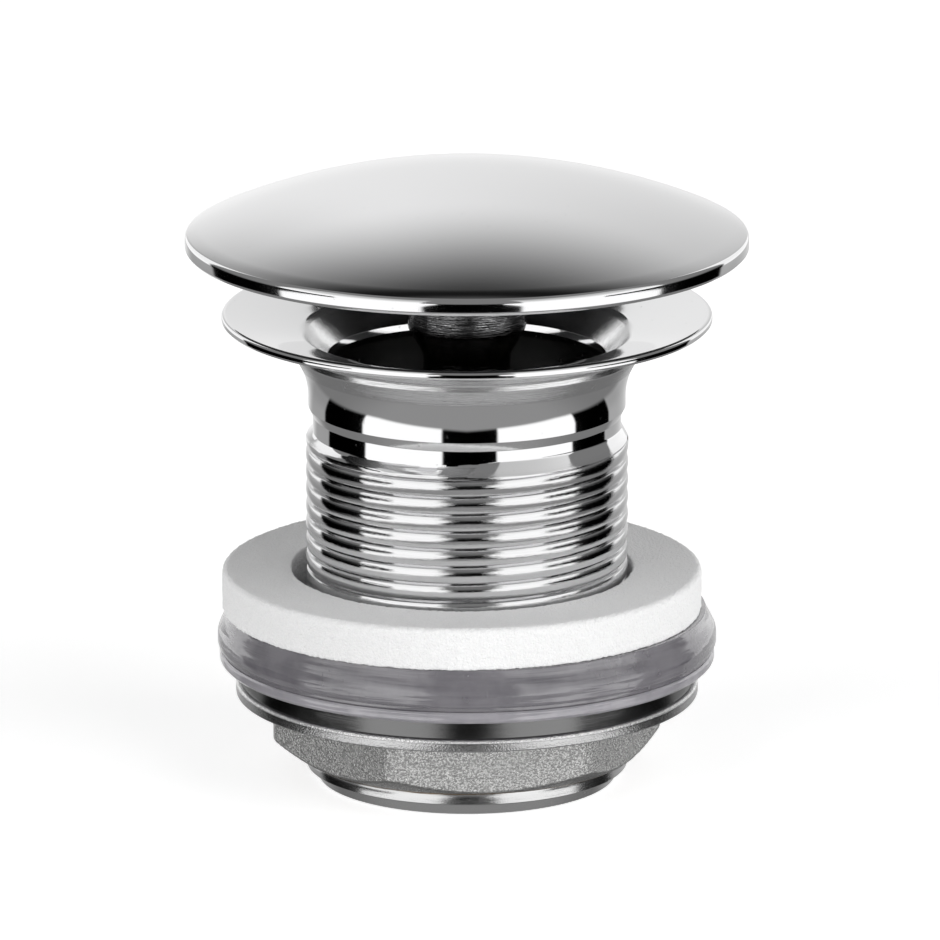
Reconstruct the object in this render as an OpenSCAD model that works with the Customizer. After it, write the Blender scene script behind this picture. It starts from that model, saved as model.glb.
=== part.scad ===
// Push-open basin waste with domed plug, foam washer, lipped seal and back nut.
// Origin: centre of the tail's end face. +Z runs up the tube towards the plug.

/* [Waste body] */
// Height of the body from the tail end to the top of the flange rim
body_h = 62.3; // [58:0.1:75]
// Radius of the flange
flange_r = 31.8; // [29:0.1:34]
// Height of the flange's outer edge
flange_edge_h = 1.4; // [1:0.1:2.5]
// Fall of the flange's dished top from the rim to the bowl's lip
dish_fall = 2.7; // [1.5:0.1:3.5]
// Radial width of the bowl between the ledge and the lip
bowl_w = 3.2; // [1.8:0.1:3.6]
// Radial width of the steep ledge at the foot of the bowl
ledge_w = 0.2; // [0.1:0.05:1.4]
// Depth of the ledge below the top of the flange
ledge_drop = 6; // [5.5:0.1:8]
// Wall between the thread's crest and the bore above the bridge
bore_wall = 3.055; // [2.855:0.1:3.455]
// Wall between the thread's crest and the bore of the tail, below the bridge
tail_wall = 3.755; // [3.655:0.05:4.055]
// How far the smooth neck under the flange lies inside the thread's crest
neck_step = 0.355; // [0.055:0.05:0.655]
// Depth from the top of the flange to the bottom of the neck
neck_drop = 12.5; // [11:0.1:14]

/* [Thread] */
// Outer radius of the pipe thread on the tail
thread_r = 20.955; // [18.855:0.005:23.455]
// Depth of the undercut below the thread's crest
undercut_depth = 0.955; // [0.755:0.05:1.355]
// Height of the undercut between the neck and the thread's shoulder
undercut_h = 2.7; // [1.5:0.1:3]
// Height of the sloping shoulder from the undercut to the thread crest
shoulder_h = 1.8; // [1:0.1:3]
// Height of the chamfer at the tail end
tail_chamfer_h = 2.4; // [1:0.1:3]
// Depth of the chamfer at the tail end
tail_chamfer_r = 1.6; // [0.6:0.05:1.8]
// Pitch of the pipe thread
thread_pitch = 2.309; // [1.809:0.1:2.809]
// Depth of the thread's groove
thread_cut = 0.6; // [0.4:0.05:0.9]
// Width of the thread's groove at the crest
thread_cut_w = 1.2; // [0.8:0.1:1.6]
// Drop from the end of the shoulder to the middle of the thread's uppermost groove
thread_lead = 2.66; // [2.06:0.1:3.66]

/* [Bridge] */
// Height of the step in the bore that the bridge rests on
bridge_z = 36; // [35:0.1:37]
// Height of the bridge's rim
bridge_rim_h = 4; // [3:0.1:5]
// Radial width of the bridge's rim
bridge_rim_w = 1.45; // [1:0.05:1.6]
// Radius of the bridge's hub
hub_r = 10.4; // [10.2:0.1:10.6]
// Height of the hub above the bridge's base
hub_up = 5; // [4.5:0.1:6]
// Depth of the hub below the bridge's base
hub_down = 2; // [1:0.1:2.5]
// Number of spokes
spoke_count = 3; // [3:1:4]
// Width of a spoke
spoke_w = 3; // [2.5:0.1:3.6]

/* [Cartridge] */
// Height of the top of the cartridge housing
housing_top_z = 47.6; // [46.5:0.1:48]
// Height of the bottom of the cartridge housing
housing_bottom_z = 11.5; // [11:0.1:12.5]
// Outer radius of the housing's threaded body
housing_r = 8.6; // [8.5:0.05:8.8]
// Radius of the bay that holds the latch ring and the spring
bay_r = 7.2; // [7.1:0.05:7.3]
// Width across the flats of the housing's collar and the lock nut
collar_af = 20; // [19.4:0.1:20.6]
// Height of the lock nut
lock_nut_h = 4.5; // [3.5:0.1:5]
// Thickness of the end plug
end_plug_h = 3; // [2.5:0.1:3.5]

/* [Latch] */
// Height of the latch ring's pegs
peg_z = 30; // [29.5:0.1:30.5]
// Height of the latch ring
ring_h = 3.6; // [3:0.1:4]
// Radius of a peg
peg_r = 1; // [0.8:0.05:1.1]
// Number of pegs and of repeats of the track
track_repeats = 3; // [3:1:3]
// Angle that one push turns the latch ring through
push_turn = 40; // [36:1:40]
// Depth of the track in the barrel
track_depth = 1.4; // [1.2:0.05:1.6]
// How far the plug springs back from full push to its latched place
latch_back = 1; // [0.6:0.1:1.4]
// Radius of the plunger rod
rod_r = 2.4; // [2.2:0.1:2.6]
// Distance across the flats at the rod's foot
rod_flats = 3.6; // [3.2:0.1:3.8]

/* [Spring] */
// Radius of the spring's wire
wire_r = 0.5; // [0.4:0.05:0.5]
// Mean radius of the spring's coils
coil_r = 4.6; // [4.4:0.1:4.8]
// Turns of the spring
coil_turns = 4; // [3:0.5:4]

/* [Plug] */
// Radius of the domed cap
cap_r = 36.5; // [34.6:0.1:38]
// Height of the open gap between the cap's rim and the flange
open_gap = 8.2; // [7.6:0.1:8.4]
// Gap left between the rim and the flange when the plug is pushed right down
closed_gap = 0.2; // [0.2:0.1:0.6]
// Height of the cap's rim
rim_h = 2.15; // [1.8:0.05:3]
// Height of the dome above the rim
dome_h = 8.1; // [6.5:0.1:10]
// Thickness of the cap's wall
cap_wall = 2.2; // [1.5:0.1:2.5]
// Radius of the stem's head under the cap
stem_head_r = 7.7; // [7:0.1:8.4]
// Radius of the stem where it slides in the cartridge
stem_r = 5.65; // [5.4:0.05:5.8]
// Radius of the stud that joins the cap to the stem
stud_r = 4; // [3:0.1:4]

/* [Clamping stack] */
// Outer radius of the foam washer
foam_r = 31.25; // [29:0.05:33]
// Radial gap between the thread and the foam washer
foam_gap = 1.345; // [1.045:0.1:3.045]
// How far the foam washer sits to one side, as a share of its gap to the thread
foam_lean = 0.48; // [0:0.02:0.8]
// Thickness of the foam washer
foam_h = 5.5; // [3:0.1:8]
// Largest radius of the lipped seal
seal_r = 32.5; // [30.5:0.1:34]
// Thickness of the lipped seal
seal_h = 5.35; // [5:0.05:8]
// Thickness of the slip washer under the seal
slip_h = 1.5; // [0.8:0.1:2]

/* [Back nut] */
// Height of the nut's foot above the tail end
nut_z = 3.4; // [2.2:0.1:6]
// Overall height of the nut
nut_h = 12.3; // [11:0.1:14]
// Radius of the nut's flange
nut_flange_r = 30.15; // [28:0.05:31]
// Height of the nut's flange
nut_flange_h = 4.3; // [3.5:0.1:5]
// Thickness of the nut between the thread's crest and a flat of its hexagon
nut_wall = 1.545; // [1.445:0.05:2.545]
// Angle of the hexagon's first corner
nut_turn = 8; // [0:1:59]

/* [Fits] */
// Radial clearance of parts that slide or turn in each other
running_clear = 0.1; // [0.06:0.01:0.1]
// Radial clearance of parts that are screwed or pressed together
seat_clear = 0.03; // [0.02:0.01:0.05]
// Gap between the plug's seal and the bowl at full push
seal_clear = 0.12; // [0.1:0.01:0.2]

/* [Hidden] */
$fn = 128;

stroke = open_gap - closed_gap;
bore_r = thread_r - bore_wall;
tail_bore_r = thread_r - tail_wall;
neck_r = thread_r - neck_step;
undercut_r = thread_r - undercut_depth;
ledge_r = bore_r + ledge_w;
lip_r = ledge_r + bowl_w;

// Waste body
lip_z = body_h - dish_fall;
ledge_fall = 0.85;
ledge_z = body_h - ledge_drop;
bowl_slope = (lip_r - ledge_r) / (lip_z - ledge_z);
dish_slope = dish_fall / (flange_r - lip_r);
neck_z = body_h - neck_drop;
neck_edge_h = 1.25;
flare_drop = 2.6;
flare_slope = 0.625;
flare_foot = 2.7;
flare_z = max(ledge_z - flare_drop, neck_z + flare_foot);
flare_fillet = 9;
flare_top_fillet = 3;
lip_fillet = 2;
seat_fillet = 0.4;
flange_low_z = body_h - flange_edge_h;
edge_break = 0.35;
flange_low_r = flange_r - edge_break;
flare_top_z = (flange_low_z - dish_slope * (flange_low_r - neck_r + flare_slope * flare_z))
    / (1 - dish_slope * flare_slope);
flare_top_r = neck_r + flare_slope * (flare_top_z - flare_z);
undercut_z = neck_z - undercut_h;
thread_top_z = undercut_z - shoulder_h;
thread_first_z = thread_top_z - thread_lead;
thread_turns = floor((thread_first_z - thread_cut_w / 2 - tail_chamfer_h) / thread_pitch) + 1;

// Bridge and cartridge
bridge_r = bore_r - seat_clear;
hub_top_z = bridge_z + hub_up;
hub_low_z = bridge_z - hub_down;
spoke_h = 4.6;
guide_r = stem_r + running_clear;
bay_top_z = peg_z + ring_h / 2 + running_clear;
spacer_top_z = peg_z - ring_h / 2 - running_clear;
spacer_wall = 1.4;
end_plug_top_z = housing_bottom_z + end_plug_h;
wiper_section_r = 0.7;
wiper_z = housing_top_z - 1.7;
wiper_r = stem_r + 0.15 + wiper_section_r;

// Latch
barrel_r = stem_r;
barrel_foot = 3;
barrel_head = 5;
barrel_low_z = peg_z - barrel_foot;
barrel_top_z = peg_z + stroke + barrel_head;
track_floor_r = barrel_r - track_depth;
track_clear = 0.35;
track_half = peg_r + track_clear;
pocket_clear = 0.05;
open_place = [0, 0];
pushed_place = [push_turn, stroke];
latched_place = [180 / track_repeats, stroke - latch_back];
second_push_place = [360 / track_repeats - push_turn, stroke];
next_open_place = [360 / track_repeats, 0];
ring_r = bay_r - running_clear;
ring_bore_r = barrel_r + 2 * running_clear;
peg_tip_r = track_floor_r + 2 * running_clear;
rod_foot = 2.3;
rod_low_z = housing_bottom_z - rod_foot;
rod_head_drop = 4.7;
rod_top_z = ledge_z - rod_head_drop;
clip_h = 0.8;
clip_w = 1.6;
clip_slot = 1.4;
clip_gap = 0.1;

// Plug
cap_low_z = body_h + open_gap;
cap_rim_z = cap_low_z + rim_h;
cap_apex_z = cap_rim_z + dome_h;
dome_r = (pow(cap_r, 2) + pow(dome_h, 2)) / (2 * dome_h);
rim_wall = 2.3;
cap_hub_r = 6.6;
carrier_r = cap_r - rim_wall - seat_clear;
carrier_rise = 0.5;
carrier_h = 1.2;
carrier_low_z = cap_low_z + carrier_rise;
carrier_top_z = carrier_low_z + carrier_h;
stem_drop = 2.5;
stem_top_z = cap_low_z - stem_drop;
drum_step = 0.3;
drum_drop = 4.2;
drum_r = bore_r + drum_step;
drum_low_z = cap_low_z - drum_drop;
drum_top_step = 1;
drum_lip_h = 0.6;
groove_depth = 1;
groove_h = 2.4;
groove_r = drum_r - groove_depth;
groove_low_z = drum_low_z + drum_lip_h;
seal_face_h = 1.3;
seal_top_step = 0.4;
carrier_collar_w = 1.2;
carrier_web_drop = 0.6;
drum_wall = 1.4;
rib_h = 1;
rib_drop = 1.2;
shoulder_rise = 3.9;
shoulder_z = ledge_z + shoulder_rise;
taper_rise = 0.3;
stem_taper_z = ledge_z + taper_rise;
stud_depth = 7.5;
stud_reach = 3;
stud_edge = 0.5;
stud_low_z = stem_top_z - stud_depth;
stud_top_z = cap_rim_z + stud_reach;

// Clamping stack
nut_top_z = nut_z + nut_h;
slip_top_z = nut_top_z + slip_h;
seal_top_z = slip_top_z + seal_h;
foam_top_z = seal_top_z + foam_h;
foam_bore_r = thread_r + foam_gap;
thread_clear_r = thread_r + running_clear;
nut_af = 2 * (thread_r + nut_wall);
nut_chamfer_w = 1.1;

// Points of an arc that rounds corner q between p and s, each point given as [r, z, fillet]
function flat(p) = [p[0], p[1]];
function unit(v) = v / norm(v);
function short_turn(a) = a > 180 ? a - 360 : (a < -180 ? a + 360 : a);
function corner(p, q, s, steps) =
    q[2] == 0 ? [flat(q)] :
    let (
        a = unit(flat(p) - flat(q)),
        b = unit(flat(s) - flat(q)),
        half = acos(a * b) / 2,
        reach = q[2] / tan(half),
        centre = flat(q) + unit(a + b) * q[2] / sin(half),
        from = flat(q) + a * reach - centre,
        to = flat(q) + b * reach - centre,
        start = atan2(from[1], from[0]),
        sweep = short_turn(atan2(to[1], to[0]) - start)
    )
    [for (i = [0:steps]) centre + q[2] * [cos(start + sweep * i / steps), sin(start + sweep * i / steps)]];
function rounded(points, steps = 5) =
    let (n = len(points))
    [for (i = [0:n - 1]) each corner(points[(i + n - 1) % n], points[i], points[(i + 1) % n], steps)];

function bowl_r(z) = ledge_r + bowl_slope * (z - ledge_z);

module turned(points) {
    rotate_extrude() polygon(rounded(points));
}

module tube(outer, inner, low, high) {
    difference() {
        translate([0, 0, low]) cylinder(r = outer, h = high - low);
        translate([0, 0, low - 1]) cylinder(r = inner, h = high - low + 2);
    }
}

// A hexagon with its corners turned off to a cone at one or both ends
module turned_hexagon(af, low, high, top_cut, low_cut) {
    corner_r = af / sqrt(3);
    intersection() {
        translate([0, 0, low]) cylinder(r = corner_r, h = high - low, $fn = 6);
        turned([
            [0, low, 0],
            [corner_r - low_cut, low, 0],
            [corner_r + 0.1, low + 0.6 * low_cut + 0.1, 0],
            [corner_r + 0.1, high - 0.6 * top_cut - 0.1, 0],
            [corner_r - top_cut, high, 0],
            [0, high, 0]
        ]);
    }
}

// One groove of the tail's thread, from below, as a row of profile points
function groove(z) = [
    [thread_r, z - thread_cut_w / 2, 0],
    [thread_r - thread_cut, z, 0],
    [thread_r, z + thread_cut_w / 2, 0]
];

module waste_body() {
    color("silver") turned([
        [tail_bore_r, 0, seat_fillet],
        [thread_r - tail_chamfer_r, 0, 0],
        [thread_r, tail_chamfer_h, 0],
        each [for (i = [thread_turns - 1:-1:0]) each groove(thread_first_z - i * thread_pitch)],
        [thread_r, thread_top_z, 0],
        [undercut_r, undercut_z, seat_fillet],
        [undercut_r, neck_z - neck_edge_h, seat_fillet / 2],
        [neck_r, neck_z, 0],
        [neck_r, flare_z, flare_fillet],
        [flare_top_r, flare_top_z, flare_top_fillet],
        [flange_low_r, flange_low_z, 0],
        [flange_r, flange_low_z + edge_break, 0],
        [flange_r, body_h - edge_break, 0],
        [flange_r - edge_break, body_h, 0],
        [lip_r, lip_z, lip_fillet],
        [ledge_r, ledge_z, 0],
        [bore_r, ledge_z - ledge_fall, 0],
        [bore_r, bridge_z, 0],
        [tail_bore_r, bridge_z, 0]
    ]);
}

// Cast cross piece that carries the cartridge in the middle of the bore
module bridge() {
    spoke_from = hub_r - 1;
    spoke_to = bridge_r - bridge_rim_w / 2;
    color("gold") difference() {
        union() {
            tube(bridge_r, bridge_r - bridge_rim_w, bridge_z, bridge_z + bridge_rim_h);
            turned([
                [1, hub_low_z, 0],
                [hub_r - 0.8, hub_low_z, 0],
                [hub_r, hub_low_z + 0.8, 0],
                [hub_r, hub_top_z, 0],
                [1, hub_top_z, 0]
            ]);
            for (i = [0:spoke_count - 1]) rotate([90, 0, 90 + 360 / spoke_count * i])
                translate([0, bridge_z, spoke_from]) linear_extrude(spoke_to - spoke_from) union() {
                    translate([-spoke_w / 2, 0]) square([spoke_w, spoke_h - spoke_w / 2]);
                    translate([0, spoke_h - spoke_w / 2]) circle(d = spoke_w);
                }
        }
        translate([0, 0, hub_low_z - 1]) cylinder(r = housing_r + seat_clear, h = hub_top_z - hub_low_z + 2);
    }
}

// Brass sleeve of the push-open cartridge
module cartridge_housing() {
    color("goldenrod") difference() {
        union() {
            translate([0, 0, housing_bottom_z]) cylinder(r = housing_r, h = hub_top_z - housing_bottom_z + 1);
            rotate([0, 0, 30]) turned_hexagon(collar_af, hub_top_z, housing_top_z, 1.2, 0);
        }
        translate([0, 0, housing_bottom_z - 1]) cylinder(r = guide_r, h = housing_top_z - housing_bottom_z + 2);
        translate([0, 0, housing_bottom_z - 1]) cylinder(r = bay_r, h = bay_top_z - housing_bottom_z + 1);
        translate([0, 0, wiper_z - wiper_section_r - seat_clear])
            cylinder(r = wiper_r + wiper_section_r + seat_clear, h = 2 * (wiper_section_r + seat_clear));
    }
}

module lock_nut() {
    color("gold") difference() {
        rotate([0, 0, 30]) turned_hexagon(collar_af, hub_low_z - lock_nut_h, hub_low_z, 0.8, 0.8);
        translate([0, 0, hub_low_z - lock_nut_h - 1]) cylinder(r = housing_r + seat_clear, h = lock_nut_h + 2);
    }
}

module stem_wiper() {
    color("dimgray") translate([0, 0, wiper_z]) rotate_extrude()
        translate([wiper_r, 0]) circle(r = wiper_section_r, $fn = 32);
}

// Sleeve that keeps the latch ring up against its step and guides the spring
module spacer_sleeve() {
    color("whitesmoke")
        tube(bay_r - seat_clear, bay_r - seat_clear - spacer_wall, end_plug_top_z, spacer_top_z);
}

// Foot of a rod with two flats, as a solid of the given clearance
module flatted_rod(low, high, clear) {
    intersection() {
        translate([0, 0, low]) cylinder(r = rod_r + clear, h = high - low);
        translate([-rod_r - 1, -rod_flats / 2 - clear, low]) cube([2 * rod_r + 2, rod_flats + 2 * clear, high - low]);
    }
}

module end_plug() {
    color("goldenrod") difference() {
        translate([0, 0, housing_bottom_z]) cylinder(r = bay_r - seat_clear, h = end_plug_h);
        flatted_rod(housing_bottom_z - 1, end_plug_top_z + 1, running_clear);
        for (side = [-1, 1]) translate([side * (rod_r + bay_r) / 2, 0, housing_bottom_z - 1])
            cylinder(r = 0.9, h = 2.2, $fn = 32);
    }
}

module cap() {
    color("lightgray") union() {
        difference() {
            intersection() {
                translate([0, 0, cap_apex_z - dome_r]) sphere(r = dome_r, $fn = 256);
                turned([
                    [0, cap_low_z, 0],
                    [cap_r - edge_break - 0.1, cap_low_z, 0],
                    [cap_r, cap_low_z + edge_break + 0.1, 0],
                    [cap_r, cap_rim_z - edge_break / 2, 0],
                    [cap_r - edge_break, cap_rim_z + edge_break / 2, 0],
                    [cap_r - edge_break, cap_apex_z + 1, 0],
                    [0, cap_apex_z + 1, 0]
                ]);
            }
            intersection() {
                translate([0, 0, cap_apex_z - dome_r]) sphere(r = dome_r - cap_wall, $fn = 256);
                translate([0, 0, cap_low_z - 1]) cylinder(r = cap_r - rim_wall, h = cap_apex_z - cap_low_z);
            }
            translate([0, 0, cap_low_z - 1]) cylinder(r = cap_r - rim_wall, h = carrier_top_z - cap_low_z + 1);
        }
        tube(cap_hub_r, stud_r + seat_clear, carrier_top_z, cap_apex_z - cap_wall - 0.2);
    }
}

// Moulded disc that closes the underside of the cap and holds its seal
module seal_carrier() {
    web_z = carrier_low_z - carrier_web_drop;
    collar_r = stem_head_r + carrier_collar_w;
    color("darkslategray") union() {
        turned([
            [stud_r + seat_clear, stem_top_z, 0],
            [collar_r, stem_top_z, carrier_web_drop / 2],
            [collar_r + carrier_web_drop, web_z, carrier_web_drop],
            [groove_r - drum_wall, web_z, carrier_web_drop],
            [groove_r - drum_wall, drum_low_z, 0],
            [drum_r, drum_low_z, drum_lip_h / 3],
            [drum_r, groove_low_z, 0],
            [groove_r, groove_low_z, 0],
            [groove_r, groove_low_z + groove_h, 0],
            [drum_r + drum_top_step / 2, groove_low_z + groove_h, 0],
            [drum_r + drum_top_step, carrier_low_z, drum_top_step / 3],
            [carrier_r, carrier_low_z, 0],
            [carrier_r, carrier_top_z, 0],
            [stud_r + seat_clear, carrier_top_z, 0]
        ]);
        for (i = [0:5]) rotate([0, 0, 60 * i])
            translate([collar_r, -rib_h / 2, drum_low_z + rib_drop])
                cube([groove_r - drum_wall / 2 - collar_r, rib_h, web_z + carrier_h / 2 - drum_low_z - rib_drop]);
    }
}

// Rubber ring whose face lies along the bowl's cone when the plug is down
module plug_seal() {
    low = groove_low_z + seat_clear;
    high = groove_low_z + groove_h - seat_clear;
    face_top = low + seal_face_h;
    color("dimgray") turned([
        [groove_r + seat_clear, low, 0],
        [bowl_r(low - stroke) - seal_clear, low, 0],
        [bowl_r(face_top - stroke) - seal_clear, face_top, 0.2],
        [drum_r + seal_top_step, high, 0],
        [groove_r + seat_clear, high, 0]
    ]);
}

module cap_stud() {
    color("goldenrod") turned([
        [0, stud_low_z, 0],
        [stud_r - stud_edge, stud_low_z, 0],
        [stud_r, stud_low_z + stud_edge, 0],
        [stud_r, stud_top_z - stud_edge, 0],
        [stud_r - stud_edge, stud_top_z, 0],
        [0, stud_top_z, 0]
    ]);
}

// Turned stem: a round head under the cap that necks down into the cartridge
module stem() {
    color("gray") difference() {
        turned([
            [0, barrel_top_z, 0],
            [stem_r - 0.3, barrel_top_z, 0],
            [stem_r, barrel_top_z + 0.3, 0],
            [stem_r, stem_taper_z, 3],
            [stem_head_r, shoulder_z, 1.6],
            [stem_head_r, stem_top_z - 0.3, 0],
            [stem_head_r - 0.3, stem_top_z, 0],
            [0, stem_top_z, 0]
        ]);
        translate([0, 0, stud_low_z - stud_edge]) cylinder(r = stud_r + seat_clear, h = stem_top_z - stud_low_z + 1);
        translate([0, 0, barrel_top_z - 1]) cylinder(r = rod_r + seat_clear, h = rod_top_z - barrel_top_z + 1.2);
    }
}

// A straight slot in the barrel's wall from one place to another, each given as [turn, height]
module track_slot(from, to) {
    middle = (from + to) / 2;
    across = 2 * (track_floor_r + track_depth / 2) * sin((to[0] - from[0]) / 2);
    climb = to[1] - from[1];
    rotate([0, 0, middle[0]]) translate([track_floor_r, 0, peg_z + middle[1]])
        rotate([-atan2(across, climb), 0, 0]) translate([0, -track_half, -norm([across, climb]) / 2])
            cube([track_depth + 1, 2 * track_half, norm([across, climb])]);
}

// A round pocket of the track, where the peg turns back
module track_pocket(place) {
    rotate([0, 0, place[0]]) translate([track_floor_r - pocket_clear, 0, peg_z + place[1]]) rotate([0, 90, 0])
        cylinder(r = track_half + pocket_clear, h = track_depth + 1);
}

// Barrel with the endless zigzag track: each push climbs one leg, each release falls into the next place
module track_barrel() {
    color("ivory") difference() {
        rotate([0, 0, 90]) translate([0, 0, barrel_low_z]) cylinder(r = barrel_r, h = barrel_top_z - barrel_low_z);
        translate([0, 0, barrel_low_z - 1]) cylinder(r = rod_r + seat_clear, h = barrel_top_z - barrel_low_z + 2);
        for (i = [0:track_repeats - 1]) rotate([0, 0, 360 / track_repeats * i]) {
            track_pocket(open_place);
            track_slot(open_place, pushed_place);
            track_pocket(pushed_place);
            track_slot(latched_place, pushed_place);
            track_pocket(latched_place);
            track_slot(latched_place, second_push_place);
            track_pocket(second_push_place);
            track_slot(next_open_place, second_push_place);
        }
    }
}

module plunger_rod() {
    color("lightsteelblue") union() {
        translate([0, 0, barrel_low_z]) cylinder(r = rod_r, h = rod_top_z - barrel_low_z);
        flatted_rod(rod_low_z, barrel_low_z, 0);
    }
}

// Spring clip that stops the plunger against the underside of the end plug
module rod_clip() {
    high = housing_bottom_z - clip_gap;
    color("lightsteelblue") difference() {
        translate([0, 0, high - clip_h]) cylinder(r = rod_r + clip_w, h = clip_h);
        flatted_rod(high - clip_h - 1, high + 1, seat_clear);
        translate([rod_r * 0.4, -clip_slot / 2, high - clip_h - 1]) cube([rod_r + clip_w + 1, clip_slot, clip_h + 2]);
    }
}

// Coil spring swept as one tube, its end turns closed up flat
function coil_point(t) =
    let (
        span = barrel_low_z - end_plug_top_z - 2 * (wire_r + 0.05),
        closed = 2 * wire_r + 0.05,
        rise = t < 1 ? t * closed
            : (t > coil_turns + 1 ? span - (coil_turns + 2 - t) * closed
            : closed + (t - 1) / coil_turns * (span - 2 * closed))
    )
    [coil_r * cos(360 * t), coil_r * sin(360 * t), end_plug_top_z + wire_r + 0.05 + rise];

module return_spring() {
    sides = 8;
    rings = 24 * (coil_turns + 2);
    turns = coil_turns + 2;
    points = [
        for (i = [0:rings])
            let (t = i / rings * turns, p = coil_point(t))
            for (k = [0:sides - 1])
                let (a = 360 * k / sides)
                [p[0] + wire_r * cos(a) * cos(360 * t), p[1] + wire_r * cos(a) * sin(360 * t), p[2] + wire_r * sin(a)]
    ];
    walls = [
        for (i = [0:rings - 1])
            for (k = [0:sides - 1])
                let (next = (k + 1) % sides)
                [i * sides + k, (i + 1) * sides + k, (i + 1) * sides + next, i * sides + next]
    ];
    ends = [
        [for (k = [0:sides - 1]) k],
        [for (k = [0:sides - 1]) rings * sides + sides - 1 - k]
    ];
    color("lightsteelblue") polyhedron(points = points, faces = concat(walls, ends), convexity = 8);
}

module latch_ring() {
    color("orange") difference() {
        tube(ring_r, ring_bore_r, peg_z - ring_h / 2, peg_z + ring_h / 2);
        for (i = [0:track_repeats - 1]) rotate([0, 0, 360 / track_repeats * i])
            translate([0, 0, peg_z]) rotate([0, 90, 0]) cylinder(r = peg_r + seat_clear, h = ring_r + 1);
    }
}

module latch_pegs() {
    color("lightsteelblue") for (i = [0:track_repeats - 1]) rotate([0, 0, 360 / track_repeats * i])
        translate([peg_tip_r, 0, peg_z]) rotate([0, 90, 0]) cylinder(r = peg_r, h = ring_r - 0.15 - peg_tip_r);
}

module foam_washer() {
    color("white") translate([-foam_gap * foam_lean, 0, 0]) turned([
        [foam_bore_r, seal_top_z, 0],
        [foam_r, seal_top_z, 0.3],
        [foam_r, foam_top_z, 0.3],
        [foam_bore_r, foam_top_z, 0]
    ]);
}

// Soft seal: a tall band that swells to a lip at its lower edge
module under_seal() {
    foot_r = seal_r - 0.5;
    groove_z = slip_top_z + 0.55;
    color("thistle") turned([
        [thread_clear_r, slip_top_z, 0],
        [foot_r, slip_top_z, 0.25],
        [foot_r, groove_z, 0],
        [seal_r, groove_z + 0.35, 0.5],
        [seal_r, groove_z + 2, 2],
        [seal_r - 1.2, seal_top_z - 0.5, 1],
        [seal_r - 1.4, seal_top_z, 0.2],
        [thread_clear_r, seal_top_z, 0]
    ]);
}

module slip_washer() {
    edge_r = seal_r - 0.25;
    color("whitesmoke") turned([
        [thread_clear_r, nut_top_z, 0],
        [edge_r - 0.4, nut_top_z, 0],
        [edge_r, nut_top_z + 0.4, 0.3],
        [edge_r, slip_top_z - 0.25, 0.2],
        [edge_r - 0.25, slip_top_z, 0],
        [thread_clear_r, slip_top_z, 0]
    ]);
}

// Back nut: machined flange over a cast hexagon
module back_nut() {
    hex_top_z = nut_top_z - nut_flange_h;
    lip_h = 1.4;
    color("silver") difference() {
        union() {
            turned([
                [thread_r - 2, hex_top_z - 1, 0],
                [nut_af / 2, hex_top_z - 1, 0],
                [nut_flange_r - 1, hex_top_z - 0.3, 0.3],
                [nut_flange_r, hex_top_z, 0.2],
                [nut_flange_r, hex_top_z + lip_h, 0],
                [nut_flange_r - 0.6, hex_top_z + lip_h + 0.2, 0],
                [nut_flange_r - 0.9, nut_top_z, 0.3],
                [thread_r - 2, nut_top_z, 0]
            ]);
            rotate([0, 0, nut_turn]) turned_hexagon(nut_af, nut_z, hex_top_z, 0, nut_af / sqrt(3) - thread_r - nut_chamfer_w);
        }
        turned([
            [0, nut_z - 1, 0],
            [thread_clear_r + 0.6, nut_z - 1, 0],
            [thread_clear_r + 0.6, nut_z, 0],
            [thread_clear_r, nut_z + 0.6, 0],
            [thread_clear_r, nut_top_z - 0.6, 0],
            [thread_clear_r + 0.6, nut_top_z, 0],
            [thread_clear_r + 0.6, nut_top_z + 1, 0],
            [0, nut_top_z + 1, 0]
        ]);
    }
}

waste_body();
bridge();
cartridge_housing();
lock_nut();
stem_wiper();
spacer_sleeve();
end_plug();
cap();
seal_carrier();
plug_seal();
cap_stud();
stem();
track_barrel();
plunger_rod();
rod_clip();
return_spring();
latch_ring();
latch_pegs();
foam_washer();
under_seal();
slip_washer();
back_nut();
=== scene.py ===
import math

import bmesh
import bpy
import numpy as np
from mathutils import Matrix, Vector


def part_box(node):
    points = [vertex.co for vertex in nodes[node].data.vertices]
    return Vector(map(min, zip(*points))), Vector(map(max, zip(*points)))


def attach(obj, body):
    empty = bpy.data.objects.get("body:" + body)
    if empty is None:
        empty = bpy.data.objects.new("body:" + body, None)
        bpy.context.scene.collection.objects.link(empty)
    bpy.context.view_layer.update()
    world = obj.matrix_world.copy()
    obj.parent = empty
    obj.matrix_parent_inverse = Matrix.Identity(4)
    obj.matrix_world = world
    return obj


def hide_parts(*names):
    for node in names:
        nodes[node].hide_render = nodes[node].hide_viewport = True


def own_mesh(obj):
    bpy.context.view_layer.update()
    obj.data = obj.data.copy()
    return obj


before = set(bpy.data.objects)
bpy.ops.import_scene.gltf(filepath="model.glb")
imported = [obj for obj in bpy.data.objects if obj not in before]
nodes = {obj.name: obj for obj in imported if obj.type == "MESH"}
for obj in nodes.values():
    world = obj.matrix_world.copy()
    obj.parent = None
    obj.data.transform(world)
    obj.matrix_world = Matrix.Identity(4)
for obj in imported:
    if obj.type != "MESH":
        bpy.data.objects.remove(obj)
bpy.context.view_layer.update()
print("stage: frame loaded")

mm = 0.001
roundSteps = 360


# Shapes: profiles are lists of (radius, height, fillet) in mm, taken anticlockwise


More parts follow.
